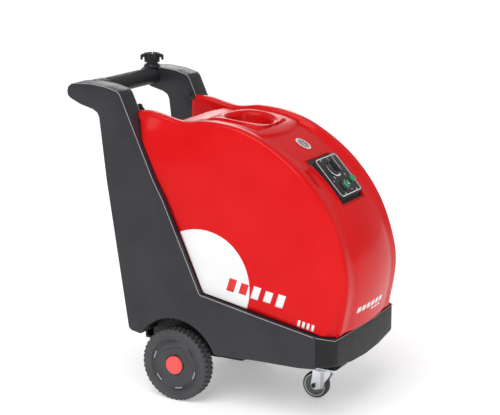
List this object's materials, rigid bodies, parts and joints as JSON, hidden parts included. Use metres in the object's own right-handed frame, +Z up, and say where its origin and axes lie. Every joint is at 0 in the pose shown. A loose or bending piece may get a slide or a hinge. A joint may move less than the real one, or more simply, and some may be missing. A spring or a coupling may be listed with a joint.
{
  "type": "cabinet pressure washer",
  "caption": "Wheeled cabinet washer: glossy hinged hood with control panel and flue well on a moulded chassis with handle arms, rear wheels and a front swivel caster.",
  "frame": {"origin": "middle of the overall length and width, on the ground under the machine", "axes": "+X forward, from the handlebar towards the caster and bumper; +Y to the machine's left; +Z up"},
  "size_m": [0.8831, 0.4656, 0.9488],
  "materials": {
    "moulded_black": "satin, fine texture",
    "hood_red": "high gloss",
    "cap_red": "satin",
    "tyre_rubber": "matt",
    "wheel_grey": "satin",
    "zinc": "bright zinc plate",
    "steel": "satin",
    "brass": "satin",
    "cast_aluminium": "as cast",
    "motor_paint": "satin",
    "panel_black": "satin",
    "lens_green": "gloss",
    "tank_white": "satin"
  },
  "bodies": {
    "chassis": {"right_side_frame": "moulded_black", "left_side_frame": "moulded_black", "front_bumper": "moulded_black", "base_tray": "moulded_black", "rear_bulkhead": "moulded_black", "handlebar": "moulded_black", "handlebar_collar": "moulded_black", "filler_neck": "moulded_black", "rear_axle": "steel", "right_axle_bracket": "steel", "left_axle_bracket": "steel", "caster_plate": "zinc", "caster_bolt_1": "zinc", "caster_bolt_2": "zinc", "caster_bolt_3": "zinc", "caster_bolt_4": "zinc", "right_hinge_pin": "steel", "left_hinge_pin": "steel", "boiler_shell": "steel", "boiler_base": "moulded_black", "flue_collar": "zinc", "blower_housing": "cast_aluminium", "blower_motor": "motor_paint", "motor_body": "motor_paint", "motor_fan_cover": "moulded_black", "pump_block": "brass", "detergent_tank": "tank_white", "water_inlet_coupling": "brass", "pressure_outlet_coupling": "brass", "drain_stub": "moulded_black"},
    "right_wheel": {"right_tyre": "tyre_rubber", "right_wheel_disc": "wheel_grey", "right_hub_cap": "cap_red"},
    "left_wheel": {"left_tyre": "tyre_rubber", "left_wheel_disc": "wheel_grey", "left_hub_cap": "cap_red"},
    "caster_swivel": {"caster_fork": "zinc", "caster_kingpin": "steel", "caster_axle": "steel"},
    "caster_wheel": {"caster_hub": "wheel_grey", "caster_tyre": "tyre_rubber"},
    "hood": {"hood_shell": "hood_red", "right_hinge_lug": "moulded_black", "left_hinge_lug": "moulded_black", "control_housing": "moulded_black", "control_faceplate": "panel_black", "power_switch_bezel": "panel_black", "pilot_lamp": "lens_green"},
    "thermostat": {"thermostat_knob": "panel_black"},
    "power_switch": {"power_switch_button": "lens_green"},
    "filler_cap": {"filler_cap": "moulded_black"},
    "motor_rotor": {"motor_fan": "cast_aluminium"},
    "blower_rotor": {"blower_fan": "cast_aluminium"},
    "pressure_regulator": {"pressure_knob": "moulded_black"},
    "detergent_filler": {"detergent_cap": "moulded_black"}
  },
  "joints": [
    {"name": "right_wheel_spin", "type": "hinge", "parent": "chassis", "child": "right_wheel", "pos_m": [-0.0876, -0.204, 0.107], "axis": [0, 1, 0], "continuous": true},
    {"name": "left_wheel_spin", "type": "hinge", "parent": "chassis", "child": "left_wheel", "pos_m": [-0.0876, 0.204, 0.107], "axis": [0, 1, 0], "continuous": true},
    {"name": "caster_swivel_turn", "type": "hinge", "parent": "chassis", "child": "caster_swivel", "pos_m": [0.2884, 0, 0.09], "axis": [0, 0, 1], "continuous": true},
    {"name": "caster_wheel_spin", "type": "hinge", "parent": "caster_swivel", "child": "caster_wheel", "pos_m": [0.2604, 0, 0.04], "axis": [0, 1, 0], "continuous": true},
    {"name": "hood_hinge", "type": "hinge", "parent": "chassis", "child": "hood", "pos_m": [-0.2506, 0, 0.836], "axis": [0, -1, 0], "range_deg": [0, 65]},
    {"name": "thermostat_turn", "type": "hinge", "parent": "hood", "child": "thermostat", "pos_m": [0.30427, 0, 0.68861], "axis": [-0.7349, 0, -0.6782], "range_deg": [0, 270]},
    {"name": "power_switch_press", "type": "slide", "parent": "hood", "child": "power_switch", "axis": [-0.7349, 0, -0.6782], "range_m": [0, 0.003], "stiffness_N_per_m": 400},
    {"name": "filler_cap_turn", "type": "hinge", "parent": "chassis", "child": "filler_cap", "pos_m": [-0.3936, 0.16, 0.921], "axis": [0, 0, 1], "range_deg": [0, 90]},
    {"name": "motor_fan_spin", "type": "hinge", "parent": "chassis", "child": "motor_rotor", "pos_m": [0.2454, 0.1033, 0.246], "axis": [0, 1, 0], "continuous": true},
    {"name": "blower_fan_spin", "type": "hinge", "parent": "chassis", "child": "blower_rotor", "pos_m": [0.2314, 0, 0.44], "axis": [0, 1, 0], "continuous": true},
    {"name": "pressure_knob_turn", "type": "hinge", "parent": "chassis", "child": "pressure_regulator", "pos_m": [0.2234, -0.0523, 0.3083], "axis": [0, 0, -1], "range_deg": [0, 270]},
    {"name": "detergent_cap_turn", "type": "hinge", "parent": "chassis", "child": "detergent_filler", "pos_m": [0.2214, -0.128, 0.3203], "axis": [0, 0, 1], "range_deg": [0, 300]}
  ]
}
